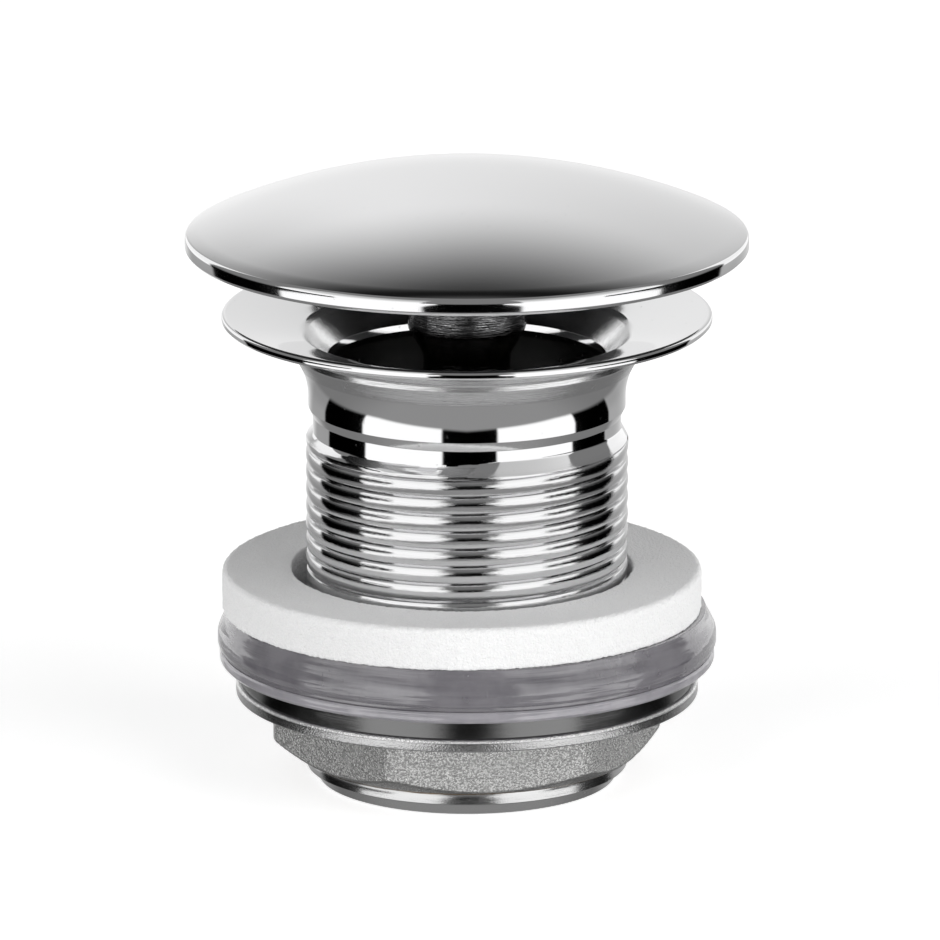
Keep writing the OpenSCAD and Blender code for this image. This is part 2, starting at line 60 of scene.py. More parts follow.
def rounded(points, steps=8):
    made = []
    for i, (radius, height, fillet) in enumerate(points):
        at = np.array((radius, height), float)
        if not fillet:
            made.append(at)
            continue
        before = np.array(points[i - 1][:2], float) - at
        after = np.array(points[(i + 1) % len(points)][:2], float) - at
        before /= np.linalg.norm(before)
        after /= np.linalg.norm(after)
        half = math.acos(float(before @ after)) / 2
        middle = before + after
        centre = at + middle / np.linalg.norm(middle) * fillet / math.sin(half)
        reach = fillet / math.tan(half)
        first = at + before * reach - centre
        last = at + after * reach - centre
        start = math.atan2(first[1], first[0])
        sweep = (math.atan2(last[1], last[0]) - start + math.pi) % (2 * math.pi) - math.pi
        for k in range(steps + 1):
            angle = start + sweep * k / steps
            made.append(centre + fillet * np.array((math.cos(angle), math.sin(angle))))
    return np.array(made)


def spread(rows, longest, closed=True):
    # The same outline, with no step longer than the given one; an open one stops short of its last point
    made = []
    for i, point in enumerate(rows if closed else rows[:-1]):
        following = rows[(i + 1) % len(rows)]
        count = max(1, math.ceil(np.linalg.norm(following - point) / longest))
        made += [point + (following - point) * k / count for k in range(count)]
    return np.array(made)


def turnAngles(steps=roundSteps):
    return np.linspace(0, 2 * math.pi, steps + 1)


def ringGrid(rows, steps=roundSteps, loop=True):
    # Rows are (radius, height) pairs, or arrays of them round the axis
    rows = np.asarray(rows, float)
    if rows.ndim == 2:
        rows = np.repeat(rows[:, None, :], steps + 1, axis=1)
    if loop:
        rows = np.concatenate([rows, rows[:1]])
    angles = turnAngles(rows.shape[1] - 1)
    radius, height = rows[..., 0], rows[..., 1]
    points = np.stack([radius * np.cos(angles), radius * np.sin(angles), height], -1)
    return gridFaces(points * mm)


def gridFaces(points):
    rowCount, columnCount = points.shape[:2]
    i, k = np.meshgrid(np.arange(rowCount - 1), np.arange(columnCount - 1), indexing="ij")
    corner = i * columnCount + k
    quads = np.stack([corner, corner + 1, corner + columnCount + 1, corner + columnCount], -1)
    return points.reshape(-1, 3), quads.reshape(-1, 4)


def meshFrom(name, grids, sharpDegrees=30):
    points, quads, offset = [], [], 0
    for gridPoints, gridQuads in grids:
        points.append(gridPoints)
        quads.append(gridQuads + offset)
        offset += len(gridPoints)
    points, quads = np.concatenate(points), np.concatenate(quads)
    mesh = bpy.data.meshes.new(name)
    mesh.from_pydata(points, [], quads.tolist())
    work = bmesh.new()
    work.from_mesh(mesh)
    bmesh.ops.remove_doubles(work, verts=work.verts, dist=3e-7)
    work.to_mesh(mesh)
    work.free()
    mesh.shade_smooth()
    mesh.set_sharp_from_angle(angle=math.radians(sharpDegrees))
    piece = bpy.data.objects.new(name, mesh)
    bpy.context.scene.collection.objects.link(piece)
    return piece


def finishPiece(piece, body, material, stoodFor):
    piece.data.materials.append(material)
    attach(piece, body)
    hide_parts(*stoodFor)


def waves(seed, count, aroundMost, alongMost):
    # A seeded sum of waves that closes on itself round the axis
    draw = np.random.default_rng(seed)
    around = draw.integers(-aroundMost, aroundMost + 1, count)
    along = draw.uniform(-alongMost, alongMost, count)
    phase = draw.uniform(0, 2 * math.pi, count)

    def height(angles, distance):
        total = np.zeros(np.broadcast(angles, distance).shape)
        for n, m, p in zip(around, along, phase):
            total += np.cos(n * angles + m * distance + p)
        return total / math.sqrt(count)

    return height


# Shader helpers


def connect(tree, node, inputs):
    for key, value in inputs.items():
        if isinstance(value, bpy.types.NodeSocket):
            tree.links.new(value, node.inputs[key])
        else:
            node.inputs[key].default_value = value


def put(tree, kind, inputs=None, **settings):
    node = tree.nodes.new(kind)
    for key, value in settings.items():
        setattr(node, key, value)
    connect(tree, node, inputs or {})
    return node


def calc(tree, operation, *values):
    return put(tree, "ShaderNodeMath", dict(enumerate(values)), operation=operation).outputs[0]


def times(tree, first, second):
    return calc(tree, "MULTIPLY", first, second)


def plus(tree, first, second):
    return calc(tree, "ADD", first, second)


def more(tree, base, mask, share):
    return plus(tree, base, times(tree, mask, share))


def scaled(tree, vector, scale):
    return put(tree, "ShaderNodeVectorMath", {0: vector, "Scale": scale}, operation="SCALE").outputs[0]


def ramp(tree, value, low, high, toLow=0.0, toHigh=1.0):
    inputs = {"Value": value, "From Min": low, "From Max": high, "To Min": toLow, "To Max": toHigh}
    return put(tree, "ShaderNodeMapRange", inputs, interpolation_type="SMOOTHSTEP").outputs[0]


def blendColour(tree, factor, first, second):
    inputs = {0: factor, 6: first, 7: second}
    return put(tree, "ShaderNodeMix", inputs, data_type="RGBA").outputs[2]


def blendValue(tree, factor, first, second):
    return put(tree, "ShaderNodeMix", {0: factor, 2: first, 3: second}).outputs[0]


def noise(tree, vector, scale, detail=2.0, roughness=0.5):
    inputs = {"Vector": vector, "Scale": scale, "Detail": detail, "Roughness": roughness}
    return put(tree, "ShaderNodeTexNoise", inputs).outputs["Fac"]


def softCells(tree, vector, scale):
    inputs = {"Vector": vector, "Scale": scale}
    return put(tree, "ShaderNodeTexVoronoi", inputs, feature="SMOOTH_F1").outputs["Distance"]


def bandMask(tree, value, low, high, soft):
    return times(tree, ramp(tree, value, low - soft, low + soft), ramp(tree, value, high + soft, high - soft))


def bump(tree, height, strength, distance, normal=None):
    inputs = {"Height": height, "Strength": strength, "Distance": distance}
    if normal is not None:
        inputs["Normal"] = normal
    return put(tree, "ShaderNodeBump", inputs).outputs["Normal"]


def newGroup(name, inputs, outputs):
    group = bpy.data.node_groups.new(name, "ShaderNodeTree")
    for label, kind, value in inputs:
        socket = group.interface.new_socket(name=label, in_out="INPUT", socket_type=kind)
        if value is not None:
            socket.default_value = value
    for label, kind in outputs:
        group.interface.new_socket(name=label, in_out="OUTPUT", socket_type=kind)
    return group, group.nodes.new("NodeGroupInput"), group.nodes.new("NodeGroupOutput")


def callGroup(tree, group, inputs=None):
    return put(tree, "ShaderNodeGroup", inputs, node_tree=group).outputs


number, vector = "NodeSocketFloat", "NodeSocketVector"


# Where a point lies on the turned part, in mm: radius, height, direction from the axis and the point itself
def makePlaceGroup():
    group, _, end = newGroup(
        "turnedPlace", [], [("Radius", number), ("Height", number), ("Around", vector), ("Point", vector)]
    )
    place = put(group, "ShaderNodeTexCoord").outputs["Object"]
    point = scaled(group, place, 1 / mm)
    parts = put(group, "ShaderNodeSeparateXYZ", {0: point}).outputs
    flat = put(group, "ShaderNodeCombineXYZ", {0: parts[0], 1: parts[1]}).outputs[0]
    radius = put(group, "ShaderNodeVectorMath", {0: flat}, operation="LENGTH").outputs["Value"]
    around = put(group, "ShaderNodeVectorMath", {0: flat}, operation="NORMALIZE").outputs[0]
    for name, socket in (("Radius", radius), ("Height", parts[2]), ("Around", around), ("Point", point)):
        group.links.new(socket, end.inputs[name])
    return group


# A noise is given as scale, detail and roughness, and a band as the two values that a fade runs between

# Fine rings left by a lathe, which change slowly round the part
ringMarks = {"relief": (1.0, 3.0, 0.6), "glint": (2.3, 1.0), "glintBand": (0.58, 0.7)}


def makeTurningGroup():
    look = ringMarks
    group, start, end = newGroup(
        "turningMarks",
        [("Along", number, 0.0), ("Around", vector, None), ("Pitch", number, 0.2), ("Breaks", number, 3.0)],
        [("Relief", number), ("Glint", number)],
    )
    row = calc(group, "DIVIDE", start.outputs["Along"], start.outputs["Pitch"])
    turned = scaled(group, start.outputs["Around"], start.outputs["Breaks"])
    lift = put(group, "ShaderNodeCombineXYZ", {2: row}).outputs[0]
    at = put(group, "ShaderNodeVectorMath", {0: turned, 1: lift}, operation="ADD").outputs[0]
    relief = noise(group, at, *look["relief"])
    # The glint mask places the stem's painted glints and its rougher spots
    glint = ramp(group, noise(group, at, *look["glint"]), *look["glintBand"])
    group.links.new(relief, end.inputs["Relief"])
    group.links.new(glint, end.inputs["Glint"])
    return group


# Smears, hairlines and small specks from handling
handlingMarks = {
    "smear": (0.11, 4.0, 0.62), "smearBand": (0.42, 0.72), "hairTurn": (0.5, 0.3, 0.9), "hairScale": (6.0, 0.16, 0.5),
    "hair": (1.0, 2.0), "hairBand": (0.66, 0.74), "patch": (0.35, 2.0), "patchBand": (0.5, 0.62), "speckScale": 0.45,
    "speckBand": (0.1, 0.05),
}


def makeHandlingGroup():
    look = handlingMarks
    group, start, end = newGroup(
        "handling",
        [("Point", vector, None), ("Amount", number, 1.0)],
        [("Smear", number), ("Hairline", number), ("Speck", number)],
    )
    point = start.outputs["Point"]
    smear = ramp(group, noise(group, point, *look["smear"]), *look["smearBand"])
    stretched = put(
        group, "ShaderNodeMapping", {"Vector": point, "Rotation": look["hairTurn"], "Scale": look["hairScale"]}
    ).outputs[0]
    hairline = ramp(group, noise(group, stretched, *look["hair"]), *look["hairBand"])
    patches = ramp(group, noise(group, point, *look["patch"]), *look["patchBand"])
    hairline = times(group, hairline, patches)
    cells = put(group, "ShaderNodeTexVoronoi", {"Vector": point, "Scale": look["speckScale"]}).outputs["Distance"]
    speck = ramp(group, cells, *look["speckBand"])
    for name, socket in (("Smear", smear), ("Hairline", hairline), ("Speck", speck)):
        group.links.new(times(group, socket, start.outputs["Amount"]), end.inputs[name])
    return group


# The pitted skin of a sand casting
castMarks = {"coarse": 1.5, "detail": 4.0, "roughness": 0.6, "grain": 1.9, "grainShare": 0.7, "pitBand": (0.62, 0.95)}


def makeCastGroup():
    look = castMarks
    group, start, end = newGroup(
        "castSkin", [("Point", vector, None), ("Size", number, 1.0)], [("Relief", number), ("Pit", number)]
    )
    scale = calc(group, "DIVIDE", 1.0, start.outputs["Size"])
    point = start.outputs["Point"]
    coarse = noise(group, point, times(group, scale, look["coarse"]), look["detail"], look["roughness"])
    grain = softCells(group, point, times(group, scale, look["grain"]))
    relief = plus(group, times(group, grain, look["grainShare"]), coarse)
    pit = ramp(group, relief, *look["pitBand"])
    group.links.new(relief, end.inputs["Relief"])
    group.links.new(pit, end.inputs["Pit"])
    return group


placeGroup = makePlaceGroup()
turningGroup = makeTurningGroup()
handlingGroup = makeHandlingGroup()
castGroup = makeCastGroup()


def newMaterial(name):
    material = bpy.data.materials.new(name)
    material.use_nodes = True
    tree = material.node_tree
    shader = tree.nodes["Principled BSDF"]
    return material, tree, shader, callGroup(tree, placeGroup)


def turned(tree, place, along, pitch, breaks):
    inputs = {"Along": place[along], "Around": place["Around"], "Pitch": pitch, "Breaks": breaks}
    return callGroup(tree, turningGroup, inputs)


def handled(tree, place, amount):
    return callGroup(tree, handlingGroup, {"Point": place["Point"], "Amount": amount})


print("stage: shader groups made")


chromeColour = (0.87, 0.87, 0.875, 1.0)
# Darker chrome, used both for specks and as painted shade
chromeDullAndShade = (0.74, 0.74, 0.745, 1.0)

# Plated body: mirror neck and flange, drawn bowl wall, turned thread; painted shade darkens the thread's ring troughs,
# the flare under the flange, the tail and the bore
bodyLook = {
    "polish": 0.045, "threadPolish": 0.07, "bowlPolish": 0.035, "boreDull": 0.2, "flareDull": 0.2, "tailDull": 0.17,
    "flare": (0.72, 0.72, 0.725, 1.0), "bore": (0.45, 0.45, 0.45, 1.0), "tail": (0.7, 0.7, 0.7, 1.0),
    "inner": (19.3, 19.1), "bowlInner": (21.6, 21.1), "bowlFoot": (56.3, 56.4), "boreTop": (54.8, 54.5),
    "threadTop": (46.2, 45.2), "threadInner": (19.0, 19.2), "flareSlope": 0.257, "flareSlant": (53.6, 53.2),
    "flareFoot": (53.4, 55.2), "flareInner": (21.4, 21.6), "flareOuter": (31.3, 31.1), "land": (56.9, 58.2, 0.15),
    "tailTop": (3.2, 2.8), "rings": (0.12, 5.0), "threadCut": 0.22, "flareCut": 0.4, "ringDepth": 0.00006,
    "streakAround": 150.0, "streakAlong": 0.7, "streak": (1.0, 3.0, 0.65), "bowlBrush": 0.4, "brushDepth": 0.00003,
    "smearRough": 0.02, "speckRough": 0.12, "speckTint": 0.25, "hairline": (0.06, 0.00002),
}


def makeBodyChrome():
    look = bodyLook
    material, tree, shader, place = newMaterial("bodyChrome")
    radius, height = place["Radius"], place["Height"]
    inside = ramp(tree, radius, *look["inner"])
    bowl = times(tree, ramp(tree, radius, *look["bowlInner"]), ramp(tree, height, *look["bowlFoot"]))
    bore = times(tree, inside, ramp(tree, height, *look["boreTop"]))
    thread = times(tree, ramp(tree, height, *look["threadTop"]), ramp(tree, radius, *look["threadInner"]))
    slant = calc(tree, "SUBTRACT", height, times(tree, radius, look["flareSlope"]))
    under = times(tree, ramp(tree, slant, *look["flareSlant"]), ramp(tree, height, *look["flareFoot"]))
    outside = times(tree, ramp(tree, radius, *look["flareInner"]), ramp(tree, radius, *look["flareOuter"]))
    flare = times(tree, under, outside)
    marks = turned(tree, place, "Height", *look["rings"])
    use = handled(tree, place, 1.0)
    across = scaled(tree, place["Around"], look["streakAround"])
    upward = put(tree, "ShaderNodeCombineXYZ", {2: times(tree, height, look["streakAlong"])}).outputs[0]
    drawn = put(tree, "ShaderNodeVectorMath", {0: across, 1: upward}, operation="ADD").outputs[0]
    streak = noise(tree, drawn, *look["streak"])
    rough = blendValue(tree, thread, look["polish"], look["threadPolish"])
    tail = ramp(tree, height, *look["tailTop"])
    rough = blendValue(tree, tail, rough, look["tailDull"])
    rough = blendValue(tree, bowl, rough, look["bowlPolish"])
    rough = blendValue(tree, bore, rough, look["boreDull"])
    rough = blendValue(tree, flare, rough, look["flareDull"])
    land = times(tree, flare, bandMask(tree, height, *look["land"]))
    rough = more(tree, rough, use["Smear"], look["smearRough"])
    rough = more(tree, rough, use["Speck"], look["speckRough"])
    tint = blendColour(tree, times(tree, use["Speck"], look["speckTint"]), chromeColour, chromeDullAndShade)
    # Painted shade: the troughs of the turning rings on the thread are darkened
    troughShade = times(tree, calc(tree, "SUBTRACT", 1.0, marks["Relief"]), thread)
    tint = blendColour(tree, troughShade, tint, chromeDullAndShade)
    # Painted shade: the flare under the flange is darker, apart from the land
    flareShade = times(tree, flare, calc(tree, "SUBTRACT", 1.0, land))
    tint = blendColour(tree, flareShade, tint, look["flare"])
    # Painted shade: the tail below the thread is darker
    tint = blendColour(tree, tail, tint, look["tail"])
    # Painted shade: the bore inside the bowl is darker
    tint = blendColour(tree, bore, tint, look["bore"])
    cut = more(tree, times(tree, thread, look["threadCut"]), flare, look["flareCut"])
    normal = bump(tree, marks["Relief"], cut, look["ringDepth"])
    brushed = plus(tree, times(tree, bowl, look["bowlBrush"]), bore)
    normal = bump(tree, streak, brushed, look["brushDepth"], normal)
    normal = bump(tree, use["Hairline"], *look["hairline"], normal)
    connect(tree, shader, {"Base Color": tint, "Metallic": 1.0, "Roughness": rough, "Normal": normal})
    return material


# Plated cap and stem: the cap smooth, with painted shade on the face below its rim; the stem with rings left by
# turning, painted glints on a darker tone, and painted shade below its head
capLook = {
    "polish": 0.05, "underside": (70.56, 70.51), "shade": (0.05, 0.05, 0.05, 1.0), "rings": (0.9, 2.0),
    "ringBump": (0.05, 0.00002), "cloud": (0.05, 3.0), "cloudRough": 0.03, "smearRough": 0.025, "speckRough": 0.1,
    "speckTint": 0.3, "hairline": (0.05, 0.00002),
}
stemLook = {
    "polish": 0.05, "ring": (0.34, 0.34, 0.345, 1.0), "foot": (0.12, 0.12, 0.12, 1.0), "shadedFootTop": (61.6, 60.6),
    "rings": (0.16, 2.5), "ringBump": (0.8, 0.00008), "glintRough": 0.06, "hairline": (0.1, 0.00002),
}


def makeCapChrome():
    look = capLook
    material, tree, shader, place = newMaterial("capChrome")
    use = handled(tree, place, 1.0)
    polish = turned(tree, place, "Radius", *look["rings"])
    cloud = noise(tree, place["Point"], *look["cloud"])
    rough = more(tree, look["polish"], use["Smear"], look["smearRough"])
    rough = more(tree, rough, use["Speck"], look["speckRough"])
    rough = more(tree, rough, cloud, look["cloudRough"])
    normal = bump(tree, polish["Relief"], *look["ringBump"])
    normal = bump(tree, use["Hairline"], *look["hairline"], normal)
    tint = blendColour(tree, times(tree, use["Speck"], look["speckTint"]), chromeColour, chromeDullAndShade)
    # Painted shade: the face below the rim is near black
    tint = blendColour(tree, ramp(tree, place["Height"], *look["underside"]), tint, look["shade"])
    connect(tree, shader, {"Base Color": tint, "Metallic": 1.0, "Roughness": rough, "Normal": normal})
    return material


def makeStemChrome():
    look = stemLook
    material, tree, shader, place = newMaterial("stemChrome")
    marks = turned(tree, place, "Height", *look["rings"])
    use = handled(tree, place, 1.0)
    rough = more(tree, look["polish"], marks["Glint"], look["glintRough"])
    normal = bump(tree, marks["Relief"], *look["ringBump"])
    normal = bump(tree, use["Hairline"], *look["hairline"], normal)
    # Painted glints: the stem is darker except where the glint mask is high
    tint = blendColour(tree, marks["Glint"], look["ring"], chromeColour)
    # Painted shade: the stem below its head is near black
    tint = blendColour(tree, ramp(tree, place["Height"], *look["shadedFootTop"]), tint, look["foot"])
    connect(tree, shader, {"Base Color": tint, "Metallic": 1.0, "Roughness": rough, "Normal": normal})
    return material


# Machined metal left as it came, for brass and steel
metalLook = {
    "breaks": 4.0, "grain": 0.8, "ringRough": 0.12, "smearRough": 0.08, "ringTint": 0.6, "smearTint": 0.35,
    "ringBump": (0.4, 0.00005), "skinDepth": 0.0001,
}


def makeMetal(name, tone, dark, polish, pitch, along, skinBump):
    look = metalLook
    material, tree, shader, place = newMaterial(name)
    marks = turned(tree, place, along, pitch, look["breaks"])
    skin = callGroup(tree, castGroup, {"Point": place["Point"], "Size": look["grain"]})
    use = handled(tree, place, 1.0)
    rough = more(tree, polish, marks["Relief"], look["ringRough"])
    rough = more(tree, rough, use["Smear"], look["smearRough"])
    tint = blendColour(tree, times(tree, marks["Relief"], look["ringTint"]), tone, dark)
    tint = blendColour(tree, times(tree, use["Smear"], look["smearTint"]), tint, dark)
    normal = bump(tree, marks["Relief"], *look["ringBump"])
    normal = bump(tree, skin["Relief"], skinBump, look["skinDepth"], normal)
    connect(tree, shader, {"Base Color": tint, "Metallic": 1.0, "Roughness": rough, "Normal": normal})
    return material


# Nut: nickel on a cast skin below and on machined rims above, bare brass at its foot; painted shade darkens the cone
# under the hexagon and a painted highlight brightens the top rim's edge
nutShape = {
    "apothem": 22.5, "turn": 8.0, "cornerCap": 25.45, "coneRise": 0.6, "foot": 22.055, "soft": 0.12, "flange": 30.15,
    "flangeHeight": 4.3, "fillet": 0.3, "chamfer": 0.6, "rimHeight": 1.55, "rimStep": 0.9, "rows": 34,
    "longest": 2.0, "steps": 720,
}
nutLook = {
    "machined": (0.19, 0.19, 0.19, 1.0), "cast": (0.88, 0.88, 0.87, 1.0), "pit": (0.33, 0.33, 0.325, 1.0),
    "cone": (0.4, 0.4, 0.395, 1.0), "lip": (0.6, 0.6, 0.6, 1.0), "arrisHighlight": (0.95, 0.95, 0.95, 1.0),
    "brass": (0.36, 0.24, 0.12, 1.0), "castMetal": 0.94, "castFoot": (3.45, 3.6), "castTop": (11.25, 11.05),
    "lipTop": (12.55, 12.35), "lipInner": (28.0, 28.6), "arrisBand": (12.5, 12.98, 0.05), "arrisInner": (29.5, 29.7),
    "brassTop": (3.62, 3.55), "coneBand": (0.3, 0.1), "machinedRough": 0.18, "castRough": 0.24, "lipRough": 0.2,
    "smearRough": 0.05, "grain": 0.42, "pitShare": 0.75, "rings": (0.16, 4.0), "ringBump": 0.3, "ringDepth": 0.00005,
    "castGrit": 0.9, "lipGrit": 0.25, "arrisGrit": 0.6, "gritDepth": 0.00018,
}


def makeNutNickel():
    look = nutLook
    material, tree, shader, place = newMaterial("nutNickel")
    radius, height = place["Radius"], place["Height"]
    cast = times(tree, ramp(tree, height, *look["castTop"]), ramp(tree, height, *look["castFoot"]))
    lip = times(tree, ramp(tree, height, *look["lipTop"]), ramp(tree, radius, *look["lipInner"]))
    rough = calc(tree, "MAXIMUM", cast, times(tree, lip, look["lipGrit"]))
    arrisHighlight = times(tree, bandMask(tree, height, *look["arrisBand"]), ramp(tree, radius, *look["arrisInner"]))
    skin = callGroup(tree, castGroup, {"Point": place["Point"], "Size": look["grain"]})
    marks = turned(tree, place, "Height", *look["rings"])
    use = handled(tree, place, 1.0)
    shine = blendValue(tree, lip, look["machinedRough"], look["lipRough"])
    shine = blendValue(tree, cast, shine, look["castRough"])
    shine = more(tree, shine, use["Smear"], look["smearRough"])
    tint = blendColour(tree, lip, look["machined"], look["lip"])
    tint = blendColour(tree, cast, tint, look["cast"])
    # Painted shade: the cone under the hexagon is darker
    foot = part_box("back_nut")[0].z / mm - nutShape["foot"] * nutShape["coneRise"]
    slant = calc(tree, "SUBTRACT", height, times(tree, radius, nutShape["coneRise"]))
    cone = times(tree, cast, ramp(tree, slant, *[foot + reach for reach in look["coneBand"]]))
    tint = blendColour(tree, cone, tint, look["cone"])
    # Painted highlight: a bright band along the top rim's edge
    tint = blendColour(tree, arrisHighlight, tint, look["arrisHighlight"])
    tint = blendColour(tree, ramp(tree, height, *look["brassTop"]), tint, look["brass"])
    pits = times(tree, skin["Pit"], times(tree, cast, look["pitShare"]))
    tint = blendColour(tree, pits, tint, look["pit"])
    cut = times(tree, calc(tree, "SUBTRACT", 1.0, cast), look["ringBump"])
    normal = bump(tree, marks["Relief"], cut, look["ringDepth"])
    grit = calc(tree, "MAXIMUM", times(tree, rough, look["castGrit"]), times(tree, arrisHighlight, look["arrisGrit"]))
    normal = bump(tree, skin["Relief"], grit, look["gritDepth"], normal)
    metal = blendValue(tree, cast, 1.0, look["castMetal"])
    connect(tree, shader, {"Base Color": tint, "Metallic": metal, "Roughness": shine, "Normal": normal})
    return material


# Closed-cell foam: fine cells, with a few darker lumps
foamLook = {
    "tone": (0.90, 0.90, 0.90, 1.0), "pore": (0.84, 0.84, 0.845, 1.0), "lump": (0.82, 0.82, 0.83, 1.0), "rough": 0.85,
    "cellScale": 3.2, "cellShare": 0.6, "pores": (5.5, 3.0, 0.6), "poreShare": 0.5, "poreBand": (0.62, 0.3),
    "lumps": (0.5, 3.0), "lumpBand": (0.6, 0.8, 0.0, 0.3), "bump": (0.9, 0.00025), "glow": 0.4, "glowDepth": 0.0008,
}


def makeFoam():
    look = foamLook
    material, tree, shader, place = newMaterial("whiteFoam")
    cells = softCells(tree, place["Point"], look["cellScale"])
    pore = noise(tree, place["Point"], *look["pores"])
    lumps = noise(tree, place["Point"], *look["lumps"])
    relief = more(tree, times(tree, cells, look["cellShare"]), pore, look["poreShare"])
    tint = blendColour(tree, ramp(tree, pore, *look["poreBand"]), look["tone"], look["pore"])
    tint = blendColour(tree, ramp(tree, lumps, *look["lumpBand"]), tint, look["lump"])
    normal = bump(tree, relief, *look["bump"])
    connect(tree, shader, {
        "Base Color": tint, "Roughness": look["rough"], "Normal": normal, "Specular IOR Level": 0.25,
        "Subsurface Weight": look["glow"], "Subsurface Radius": (1.0, 1.0, 1.0),
        "Subsurface Scale": look["glowDepth"],
    })
    return material


# Clear to milky soft plastic, with slow flow waves
clearLook = {
    "ripples": (1.1, 1.6), "rippleBump": (0.4, 0.0004), "cloud": (0.22, 3.0), "cloudBand": (0.35, 0.7),
    "smearRough": 0.12, "flowScale": (0.05, 0.05, 0.5), "flowBump": (0.3, 0.003), "hairline": (0.5, 0.0001),
    "index": 1.48, "glow": 0.35, "glowTint": (1.0, 0.95, 1.05), "glowDepth": 0.002, "coatRough": 0.1, "coatIndex": 1.9,
}


def makeClearPlastic(name, tone, deep, through, rough, marked):
    look = clearLook
    material, tree, shader, place = newMaterial(name)
    use = handled(tree, place, marked)
    ripple = turned(tree, place, "Height", *look["ripples"])
    cloud = noise(tree, place["Point"], *look["cloud"])
    tint = blendColour(tree, ramp(tree, cloud, *look["cloudBand"]), tone, deep)
    shine = more(tree, rough, use["Smear"], look["smearRough"])
    flow = put(tree, "ShaderNodeMapping", {"Vector": place["Point"], "Scale": look["flowScale"]}).outputs[0]
    normal = bump(tree, noise(tree, flow, 1.0, 1.0), *look["flowBump"])
    normal = bump(tree, ripple["Relief"], *look["rippleBump"], normal)
    normal = bump(tree, use["Hairline"], *look["hairline"], normal)
    connect(tree, shader, {
        "Base Color": tint, "Roughness": shine, "Normal": normal, "IOR": look["index"], "Transmission Weight": through,
        "Subsurface Weight": look["glow"], "Subsurface Radius": look["glowTint"], "Subsurface Scale": look["glowDepth"],
        "Coat Weight": 1.0, "Coat Roughness": look["coatRough"], "Coat IOR": look["coatIndex"], "Coat Normal": normal,
    })
    return material


# Moulded plastic and rubber
plasticLook = {
    "fine": (4.0, 2.0), "grainDepth": 0.00005, "cloud": (0.3, 2.0), "cloudBand": (0.35, 0.75), "smearRough": 0.1,
    "hairline": (0.2, 0.00004),
}


def makePlastic(name, tone, dark, rough, grain):
    look = plasticLook
    material, tree, shader, place = newMaterial(name)
    use = handled(tree, place, 1.0)
    fine = noise(tree, place["Point"], *look["fine"])
    cloud = noise(tree, place["Point"], *look["cloud"])
    tint = blendColour(tree, ramp(tree, cloud, *look["cloudBand"]), tone, dark)
    shine = more(tree, rough, use["Smear"], look["smearRough"])
    normal = bump(tree, fine, grain, look["grainDepth"])
    normal = bump(tree, use["Hairline"], *look["hairline"], normal)
    connect(tree, shader, {"Base Color": tint, "Roughness": shine, "Normal": normal})
    return material


materials = {
    "bodyChrome": makeBodyChrome(),
    "capChrome": makeCapChrome(),
    "stemChrome": makeStemChrome(),
    "nutNickel": makeNutNickel(),
    "whiteFoam": makeFoam(),
    "bareBrass": makeMetal("bareBrass", (0.78, 0.60, 0.30, 1), (0.52, 0.37, 0.16, 1), 0.22, 0.25, "Height", 0.15),
    "steel": makeMetal("steel", (0.62, 0.62, 0.63, 1), (0.40, 0.40, 0.41, 1), 0.16, 0.3, "Radius", 0.05),
    "milkySeal": makeClearPlastic("milkySeal", (0.35, 0.336, 0.367, 1), (0.255, 0.243, 0.272, 1), 0.5, 0.2, 1.0),
    "paleLip": makeClearPlastic("paleLip", (0.46, 0.445, 0.48, 1), (0.36, 0.35, 0.38, 1), 0.3, 0.16, 0.8),
    "palePlastic": makePlastic("palePlastic", (0.72, 0.72, 0.71, 1), (0.62, 0.62, 0.61, 1), 0.35, 0.3),
    "blackRubber": makePlastic("blackRubber", (0.022, 0.022, 0.023, 1), (0.035, 0.035, 0.036, 1), 0.5, 0.5),
    "darkPlastic": makePlastic("darkPlastic", (0.035, 0.036, 0.038, 1), (0.05, 0.05, 0.052, 1), 0.38, 0.3),
    "ivoryPlastic": makePlastic("ivoryPlastic", (0.78, 0.74, 0.62, 1), (0.70, 0.65, 0.53, 1), 0.35, 0.3),
    "orangePlastic": makePlastic("orangePlastic", (0.75, 0.26, 0.05, 1), (0.62, 0.20, 0.04, 1), 0.35, 0.3),
}
print("stage: materials made")


# Waste body: one outline for the turned part and a helical grid for the thread
bodyShape = {
    "threadRadius": 20.955, "threadFoot": 1.72, "threadTop": 45.3, "undercut": 20.0, "undercutFoot": 47.1,
    "undercutTop": 48.55, "neck": 20.6, "neckFoot": 49.8, "flareStart": 53.7, "flareFillet": 9.0, "flange": 31.8,
    "flangeLow": 60.9, "flangeTop": 62.3, "edge": 0.35, "lip": 21.3, "lipHeight": 59.6, "ledge": 18.1,
    "ledgeHeight": 56.3, "bore": 17.9, "boreHeight": 55.45, "bridge": 36.0, "tailBore": 17.2, "seam": 47.3,
    "flareSlope": 0.625, "land": [(22.74, 57.05, 0.4), (22.78, 57.85, 0.25), (23.45, 58.3, 0.4)],
    "tailFoot": [(19.4, 0, 0.1), (19.72, 1.35, 0.05), (20.85, 1.6, 0.06)], "steps": 480,
}
# A groove with straight flanks between convex crests, which runs out into the shoulder
threadShape = {
    "pitch": 2.309, "depth": 0.65, "halfGroove": 0.34, "crown": 0.22, "apex": 1.25, "endAngle": 284.0,
    "endHeight": 45.04, "fade": 150.0, "footFrom": 2.0, "footTo": 3.2, "turns": (-22, 4),
    # Heights of the grid's rows within one turn, closer together at the groove
    "rows": [
        0, 0.07, 0.15, 0.218, 0.26, 0.34, 0.48, 0.65, 0.85, 1.05, 1.25, 1.45, 1.65, 1.85, 1.97, 2.042, 2.09, 2.16, 2.24,
    ],
}
# The shoulder is steep where the thread runs out, on the left of the front
shoulderShape = {"steepFoot": 45.5, "steepTop": 46.35, "from": 283.0, "full": 258.0, "back": 150.0, "gone": 20.0}


